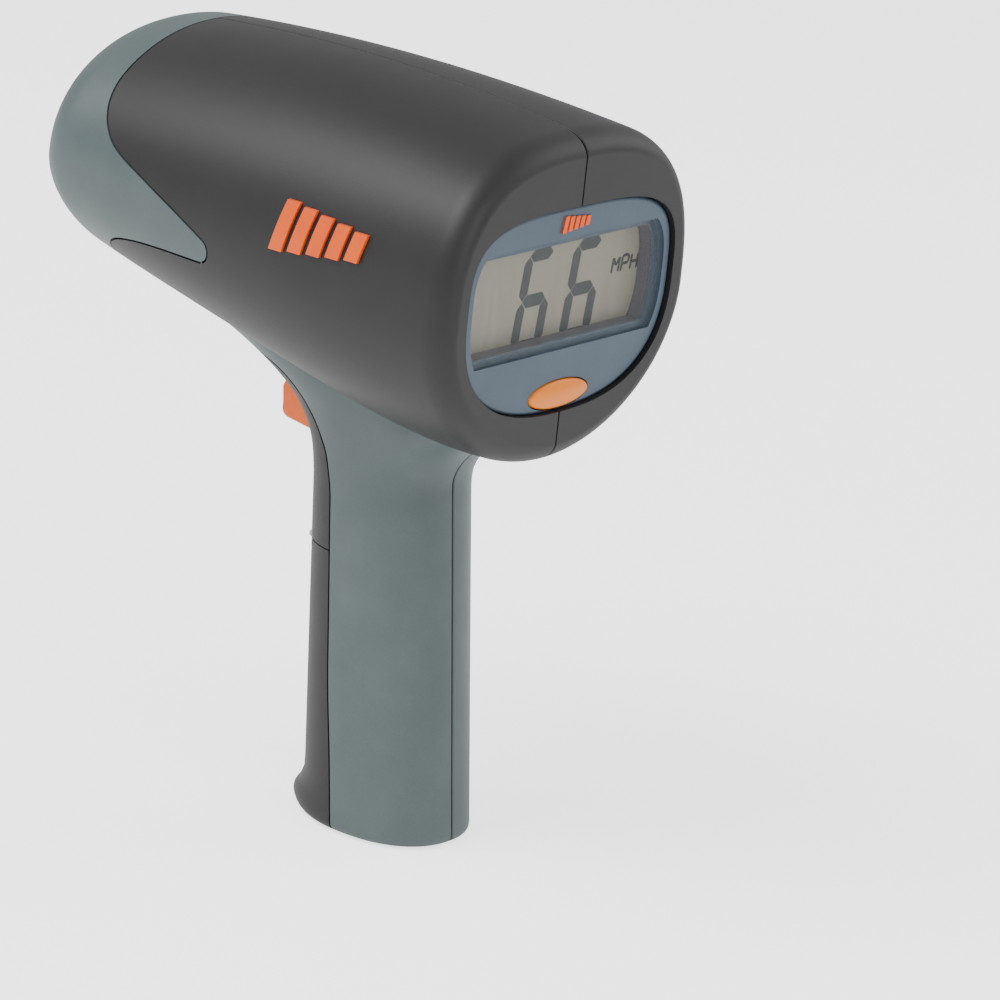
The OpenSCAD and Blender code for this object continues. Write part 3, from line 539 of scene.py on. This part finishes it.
# ---- trigger strap ----
# The dark upper front of the grip, in the barrel's soft-touch ABS. It carries
# the trigger's slot, and at its lower edge the two outer rolls of the door hinge.
hinge_z, roll_r, roll_half, door_gap = 79, 3.6, 8.6, 0.35
hinge_depth = 2.6
hinge_y = front_y(hinge_z) + hinge_depth
hinge_pin_r, hinge_half, pin_clear = 1, 12.4, 0.05
trigger_low_z, slot_top_z = pivot_z - 16, pivot_z - 0.2


def strap_skin(name):
    piece = boolean(full_grip(name, 0, 0), full_grip("hollow", wall, wall))
    boolean(piece, barrel_body())
    return boolean(piece, prism("limit", strap_side(2 * groove), 0, -60, 60), "INTERSECT")


def hinge_bar(r, start, end):
    return rod(0, (hinge_y, hinge_z), r, start, end, 64)


strap = boolean(strap_skin("strap_upper"), block((-50, 50), (-60, 60), (-10, hinge_z + door_gap)))
for side in (-1, 1):
    roll_bar = hinge_bar(roll_r, side * (roll_half + door_gap), side * (grip_half_w + 10))
    boolean(strap, boolean(roll_bar, full_grip("limit", 0.02, 0), "INTERSECT"), "UNION")
    clear = rod(0, (pivot_y, pivot_z), pin_boss_r + door_gap, side * (trigger_w / 2 + slot_gap), side * 40)
    boolean(strap, boolean(clear, full_grip("limit", wall / 2 - 0.2, 0), "INTERSECT"))
boolean(strap, hinge_bar(roll_r + door_gap, -roll_half - door_gap, roll_half + door_gap))
boolean(strap, hinge_bar(hinge_pin_r, 1 - hinge_half, hinge_half - 1))
slot_half = trigger_w / 2 + slot_gap
boolean(strap, block((-slot_half, slot_half), (-40, 10), (trigger_low_z - slot_gap, slot_top_z)))
hand_over(strap, soft_touch, "housing", "charcoal_soft_touch", "trigger_strap")

# ---- battery door ----
# The dark lower front of the grip, which swings forward on the roll along its
# top edge and ends in a small toe that a finger can lift.
door = boolean(strap_skin("door_lower"), block((-50, 50), (-60, 60), (hinge_z, hinge_z + 80)))
for side in (-1, 1):
    boolean(door, hinge_bar(roll_r + door_gap, side * roll_half, side * (grip_half_w + 10)))
boolean(door, boolean(hinge_bar(roll_r, -roll_half, roll_half), full_grip("limit", 0.02, 0), "INTERSECT"), "UNION")
boolean(door, hinge_bar(hinge_pin_r + pin_clear, -roll_half - 1, roll_half + 1))
hand_over(door, soft_touch, "battery_door", "charcoal_soft_touch", "battery_door")

# ---- side badges ----
# Five slanted bars moulded in orange ABS and bonded to the barrel, one
# millimetre proud, with sharp satin faces.
bar_count, bar_pitch, bar_w, badge_y, badge_z, badge_h, bar_lean = 5, 6.4, 4.4, 14.5, 169.5, 14, 3.2
bar_taper = 0.11
badge_orange = moulded("abs_orange_moulded", "#e85200", "#ef5d00", 0.4, 0.02, 0.38)


def bar_line(k, pitch, wide, high, lean):
    """Outline of one bar. Each is a little shorter than the one before it."""
    low, shift = high * bar_taper * k / 2, lean * (1 - bar_taper * k)
    return [(pitch * k, low), (pitch * k + wide, low), (pitch * k + wide + shift, high - low),
            (pitch * k + shift, high - low)]


def join(pieces, name):
    """Several bodies made one object."""
    bpy.ops.object.select_all(action="DESELECT")
    for piece in pieces:
        piece.select_set(True)
    bpy.context.view_layer.objects.active = pieces[0]
    bpy.ops.object.join()
    pieces[0].name = name
    return pieces[0]


bars = join([prism("bar", [(badge_y + a, badge_z + b) for a, b in bar_line(k, bar_pitch, bar_w, badge_h, bar_lean)],
                   0, 20, half_w + 5) for k in range(bar_count)], "badge_left")
badge_places = [20 + k for k in range(60)]
boolean(bars, full_barrel("limit", -0.95, badge_places, 180), "INTERSECT")
boolean(bars, full_barrel("hollow", 0.02, [10 + k for k in range(80)], 180))
other_bars = mirrored(bars, "badge_right")
hand_over(bars, badge_orange, "housing", "badge_orange", "side_badge_left", edge=0.18)
hand_over(other_bars, badge_orange, "housing", "badge_orange", "side_badge_right", edge=0.18)

# ---- display bezel ----
# A slate-blue ABS plate with a rounded outer edge, let into the rear of the
# barrel. It holds the window in a step and stands on four moulded posts.
bezel_sink, bezel_t, window_t, window_sink, window_inset = 1.2, 3, 1.4, 0.6, 3.4
face_y = rear_y - bezel_sink
window_low_z, window_high_z = 148.4, 179
button_half_w, button_half_h, button_z, button_gap = 13, 3.9, 135.6, 0.35
lcd_front, lcd_t, zebra_t, board_t = face_y - 7, 2.6, 4, 1.6
board_y = lcd_front - lcd_t - zebra_t - board_t
display_posts = [(-33, 144), (33, 144), (-34, 182.5), (34, 182.5)]
slate_abs = moulded("abs_slate_moulded", "#3c4d5c", "#445665", 0.5, 0.03, 0.36)


def window_body(grow, start, end):
    """The window's outline as a solid: the bezel's line drawn in, cut straight above and below."""
    body = prism("window", bezel_line(grow - window_inset), 1, start, end)
    level = [(-60, window_low_z - grow), (60, window_low_z - grow), (60, window_high_z + grow),
             (-60, window_high_z + grow)]
    return boolean(body, prism("limit", level, 1, start - 1, end + 1), "INTERSECT")


def oval(grow, count=96):
    return [((button_half_w + grow) * math.cos(2 * math.pi * k / count),
             button_z + (button_half_h + grow) * math.sin(2 * math.pi * k / count)) for k in range(count)]


bezel_edge = 1.1
rings = []
for k in range(9):
    a = math.pi / 2 * k / 8
    rings.append([(x, face_y - bezel_edge * (1 - math.sin(a)), z)
                  for x, z in bezel_line(-bezel_edge * (1 - math.cos(a)))])
bezel = wrap("bezel_plate", [[(x, face_y - bezel_t, z) for x, z in bezel_line(0)]] + rings)
for spot in display_posts:
    boolean(bezel, rod(1, spot, 2.6, board_y + board_t, face_y - bezel_t + 0.5), "UNION")
boolean(bezel, window_body(-1.6, face_y - bezel_t - 1, face_y + 1))
boolean(bezel, window_body(fit_gap, face_y - window_sink - window_t, face_y + 1))
boolean(bezel, prism("cut", oval(button_gap), 1, face_y - bezel_t - 1, face_y + 1))
for spot in display_posts:
    boolean(bezel, rod(1, spot, 0.9, board_y, board_y + 7))
small_bars = [prism("cut", [(6.5 - a, window_high_z + 2.2 + b) for a, b in bar_line(k, 2.5, 1.7, 4.6, 1)],
                    1, face_y - 0.6, face_y + 1) for k in range(bar_count)]
boolean(bezel, join(small_bars, "cut"))
hand_over(bezel, slate_abs, "housing", "bezel_slate", "display_bezel", edge=0.12, angle=28)

# ---- window ----
# Clear polycarbonate sheet, cut to the step in the bezel and polished, so it
# shows only a faint gloss over the display.
clear_sheet, tree = empty_material("polycarbonate_polished_clear")
place = add_node(tree, "ShaderNodeTexCoord")
smear = add_node(tree, "ShaderNodeTexNoise", {"Scale": 70, "Detail": 3}, {"Vector": place.outputs["Object"]})
gloss = add_node(tree, "ShaderNodeMapRange", {"To Min": 0.05, "To Max": 0.14}, {"Value": smear.outputs["Fac"]})
finish_material(tree, add_node(tree, "ShaderNodeBsdfPrincipled",
                               {"Base Color": linear("#9aa0a2"), "IOR": 1.58, "Alpha": 0.07},
                               {"Roughness": gloss.outputs[0]}))
window = window_body(0, face_y - window_sink - window_t, face_y - window_sink)
window.name = "window_sheet"
hand_over(window, clear_sheet, "housing", "window_clear", "display_window", edge=0.12, angle=28)

# ---- liquid crystal figures ----
# Dark segments of a twisted nematic display, printed as electrodes on the
# glass: two figures six and the unit of speed.
segment_ink = moulded("liquid_crystal_segment", "#0c110e", "#141a16", 0.3, 0.0, 0.5, patch=3)
figure_lean, ink_t = 0.13, 0.07


def stroke(a, b, width):
    """A bar with pointed ends from one point to another, on the display's face."""
    dx, dz = b[0] - a[0], b[1] - a[1]
    size = math.hypot(dx, dz)
    ux, uz = dx / size, dz / size
    h = width / 2
    line = [(a[0], a[1]), (a[0] + ux * h - uz * h, a[1] + uz * h + ux * h),
            (b[0] - ux * h - uz * h, b[1] - uz * h + ux * h), (b[0], b[1]),
            (b[0] - ux * h + uz * h, b[1] - uz * h - ux * h), (a[0] + ux * h + uz * h, a[1] + uz * h - ux * h)]
    return prism("stroke", [(x - figure_lean * (z - window_low_z), z) for x, z in line], 1, lcd_front - 0.01,
                 lcd_front + ink_t)


strokes = []
figure_w, figure_low, figure_high, thick, nick = 10.4, 148.5, 173.6, 3.6, 0.2
for left in (12.9, -8.7):
    right, mid = left - figure_w, (figure_low + figure_high) / 2
    for a, b in (((left, figure_low), (right, figure_low)), ((left, mid), (right, mid)),
                 ((left, figure_high), (right, figure_high)), ((left, figure_low), (left, mid)),
                 ((left, mid), (left, figure_high)), ((right, figure_low), (right, mid))):
        size = math.hypot(b[0] - a[0], b[1] - a[1])
        ux, uz = (b[0] - a[0]) / size * nick, (b[1] - a[1]) / size * nick
        strokes.append(stroke((a[0] + ux, a[1] + uz), (b[0] - ux, b[1] - uz), thick))
letters = {"m": [((0, 0), (0, 1)), ((0, 1), (0.5, 0.45)), ((0.5, 0.45), (1, 1)), ((1, 1), (1, 0))],
           "p": [((0, 0), (0, 1)), ((0, 1), (1, 1)), ((1, 1), (1, 0.5)), ((1, 0.5), (0, 0.5))],
           "h": [((0, 0), (0, 1)), ((0, 0.5), (1, 0.5)), ((1, 0), (1, 1))]}
unit_x, letter_pitch, letter_w, letter_low, letter_h, letter_stroke = -26.5, 4.2, 2.9, 163.2, 4.4, 0.85
for k, letter in enumerate("mph"):
    for a, b in letters[letter]:
        ends = [(unit_x - letter_pitch * k - letter_w * x, letter_low + letter_h * z) for x, z in (a, b)]
        strokes.append(stroke(ends[0], ends[1], letter_stroke))
figures = join(strokes, "display_figures")
hand_over(figures, segment_ink, "housing", "lcd_glass")

# ---- power button ----
# A domed oval key moulded in orange ABS. A flange behind the bezel keeps it in.
button_orange = moulded("abs_orange_button_moulded", "#f58200", "#fd9000", 0.5, 0.02, 0.34)
button_travel, flange_t, flange_gap = 0.8, 1, 0.7
button_y = face_y - bezel_t - button_travel - flange_t - flange_gap
rings = [[(x, y, z) for x, z in oval(grow)] for y, grow in
         ((button_y, 1), (button_y + flange_t, 1), (button_y + flange_t, 0), (rear_y - 1.5, 0))]
for k in range(1, 7):
    a = math.pi / 2 * k / 6
    rings.append([(x, rear_y - 1.5 + 0.9 * math.sin(a), z) for x, z in oval(-0.9 * (1 - math.cos(a)))])
rim_line = oval(-0.9)
for k in range(1, 9):
    f = 1 - k / 8
    rings.append([(x * f, rear_y - 0.6 * f * f, button_z + (z - button_z) * f) for x, z in rim_line])
button = wrap("button_cap", rings)
hand_over(button, button_orange, "power_button", "button_orange", "power_button")

# ---- trigger ----
# A hollow-backed finger piece in glossy orange ABS. It turns on a steel pin
# through the eye at its top and its tail presses the switch.
trigger_orange = moulded("abs_orange_trigger_moulded", "#f86200", "#ff6e00", 0.6, 0.02, 0.33)
blade_y = pivot_y - 8.6
trigger_line = ([(pivot_y - 3.8, pivot_z - 0.7), (pivot_y - 5.6, pivot_z - 0.9), (pivot_y - 7.2, pivot_z - 2.6),
                 (blade_y + 0.6, pivot_z - 4), (blade_y - 0.5, pivot_z - 6.3), (blade_y, pivot_z - 10.5)]
                + [(blade_y + 2.6 + 2.6 * math.cos(math.radians(a)), pivot_z - 12.3 + 2.6 * math.sin(math.radians(a)))
                   for a in range(190, 261, 14)]
                + [(pivot_y + 1.5, trigger_low_z), (pivot_y + 5.5, trigger_low_z + 0.6),
                   (pivot_y + 6.2, pivot_z - 7.8), (switch_y - 1.7, pivot_z - 7.6), (switch_y - 1.7, pivot_z - 4),
                   (pivot_y + 3.6, pivot_z + 1.5)])
trigger = prism("trigger_blade", trigger_line, 0, -trigger_w / 2, trigger_w / 2)
boolean(trigger, rod(0, (pivot_y, pivot_z), 3.9, -trigger_w / 2, trigger_w / 2, 64), "UNION")
boolean(trigger, rod(0, (pivot_y, pivot_z), pin_r + pin_clear, -trigger_w, trigger_w))
boolean(trigger, rod(0, (pivot_y, pivot_z), 2.9, -trigger_w, 2.4 - trigger_w / 2))
hand_over(trigger, trigger_orange, "trigger", "trigger_orange", "trigger", edge=0.7)

# ---- trim and working parts from the frame ----
# Small moulded, turned and pressed parts keep their own shape and get the
# finish of what they are made of.


def dress(material, *names):
    """Gives nodes of the frame one material each."""
    for name in names:
        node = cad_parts[name]
        node.data.materials.clear()
        node.data.materials.append(material)


dress(badge_orange, "bezel_badge")
dress(moulded("abs_grey_moulded", "#464148", "#504b52", 0.4, 0.03, 0.5), "lcd_tray")
dress(moulded("nitrile_rubber_moulded", "#1f2122", "#292b2d", 0.6, 0.05, 0.75), "nose_seal")
dress(moulded("silicone_elastomer_striped", "#c9798c", "#de93a4", 0.3, 0.02, 0.6, patch=1), "zebra_strips")
dress(moulded("glass_fibre_board_solder_masked", "#24603a", "#2f7347", 0.6, 0.03, 0.35, patch=6, coat=0.3),
      "display_board", "main_board")
dress(moulded("nylon_black_moulded", "#222426", "#2e3033", 0.5, 0.04, 0.5), "horn_frame", "battery_cradle",
      "power_switch", "power_switch_plunger", "trigger_switch", "processor_chips")
dress(moulded("zinc_die_cast", "#a7aaad", "#bdc0c3", 0.5, 0.03, 0.36, metallic=1), "horn_antenna")
dress(moulded("aluminium_milled", "#96999c", "#acafb2", 0.4, 0.02, 0.34, metallic=1), "transceiver_module",
      "board_bracket")
dress(moulded("steel_zinc_plated", "#9c9fa3", "#b9bcc0", 0.3, 0.01, 0.27, patch=4, metallic=1), "case_screws",
      "display_screws", "transceiver_screws", "board_screws", "trigger_pin", "door_hinge_pin", "trigger_spring",
      "contact_spring", "contact_plate")
dress(moulded("brass_turned", "#b59f4f", "#cdb964", 0.3, 0.01, 0.3, patch=4, metallic=1), "board_posts")
dress(moulded("steel_tin_plated", "#b4b7b9", "#cacdcf", 0.4, 0.02, 0.3, metallic=1), "shield_can")
dress(moulded("nylon_cream_moulded", "#d8d3c5", "#e6e2d6", 0.4, 0.02, 0.5), "board_connectors",
      "trigger_switch_plunger")
dress(moulded("polyester_film_laminated", "#bdb8a8", "#cdc8b8", 0.4, 0.01, 0.4), "ribbon_cable")
dress(moulded("pvc_wire_red_extruded", "#a3211a", "#bb3026", 0.3, 0.01, 0.45), "battery_lead_positive")
dress(moulded("pvc_wire_black_extruded", "#181818", "#222222", 0.3, 0.01, 0.45), "battery_lead_negative")
dress(moulded("pvc_wire_blue_extruded", "#33549a", "#4366b2", 0.3, 0.01, 0.45), "trigger_leads")

# ---- liquid crystal panel ----
# Two sheets of glass over a warm grey reflector, with the faint upright
# mottling of the electrode pattern.
reflector, tree = empty_material("liquid_crystal_reflector")
place = add_node(tree, "ShaderNodeTexCoord")
tall = add_node(tree, "ShaderNodeMapping", {"Scale": (1, 1, 0.12)}, {"Vector": place.outputs["Object"]})
streak = add_node(tree, "ShaderNodeTexNoise", {"Scale": 330, "Detail": 2}, {"Vector": tall.outputs[0]})
speck = add_node(tree, "ShaderNodeTexNoise", {"Scale": 2600, "Detail": 1}, {"Vector": place.outputs["Object"]})
both = add_node(tree, "ShaderNodeMix", {0: 0.4}, {2: streak.outputs["Fac"], 3: speck.outputs["Fac"]})
spread = add_node(tree, "ShaderNodeMapRange", {"From Min": 0.35, "From Max": 0.65}, {"Value": both.outputs[0]})
tone = add_node(tree, "ShaderNodeMix", {"data_type": "RGBA", 6: linear("#88826f"), 7: linear("#958f7d")},
                {0: spread.outputs[0]})
finish_material(tree, add_node(tree, "ShaderNodeBsdfPrincipled", {"IOR": 1.52, "Roughness": 0.45},
                               {"Base Color": tone.outputs[2]}))
dress(reflector, "lcd_panel")

# ---- cells ----
# Two C cells in a printed film sleeve: black, with a copper-coloured band at
# the positive end and the bare steel terminal above it.
cell_jacket, tree = empty_material("steel_can_film_sleeved")
cell_len, cell_base_z, stack_y, cell_lean = 50, 12.5, 36.825, 7
place = add_node(tree, "ShaderNodeTexCoord")
stack = add_node(tree, "ShaderNodeMapping",
                 {"vector_type": "TEXTURE", "Location": (0, stack_y * MM, cell_base_z * MM),
                  "Rotation": (math.radians(cell_lean), 0, 0)}, {"Vector": place.outputs["Object"]})
axis = add_node(tree, "ShaderNodeSeparateXYZ", links={0: stack.outputs[0]})
share = add_node(tree, "ShaderNodeMath", {"operation": "MULTIPLY", 1: 1 / (cell_len * MM)}, {0: axis.outputs["Z"]})
turn = add_node(tree, "ShaderNodeMath", {"operation": "FRACT"}, {0: share.outputs[0]})
band = add_node(tree, "ShaderNodeValToRGB", links={"Fac": turn.outputs[0]})
band.color_ramp.interpolation = "CONSTANT"
band.color_ramp.elements[0].color = linear("#1d1e20")
band.color_ramp.elements[1].position = 0.66
band.color_ramp.elements[1].color = linear("#b0703a")
tip = band.color_ramp.elements.new(0.962)
tip.color = linear("#b9bcc0")
wear = add_node(tree, "ShaderNodeTexNoise", {"Scale": 400, "Detail": 2}, {"Vector": place.outputs["Object"]})
gloss = add_node(tree, "ShaderNodeMapRange", {"To Min": 0.24, "To Max": 0.36}, {"Value": wear.outputs["Fac"]})
finish_material(tree, add_node(tree, "ShaderNodeBsdfPrincipled", {"Metallic": 0.4},
                               {"Base Color": band.outputs[0], "Roughness": gloss.outputs[0]}))
dress(cell_jacket, "battery_cell_lower", "battery_cell_upper")
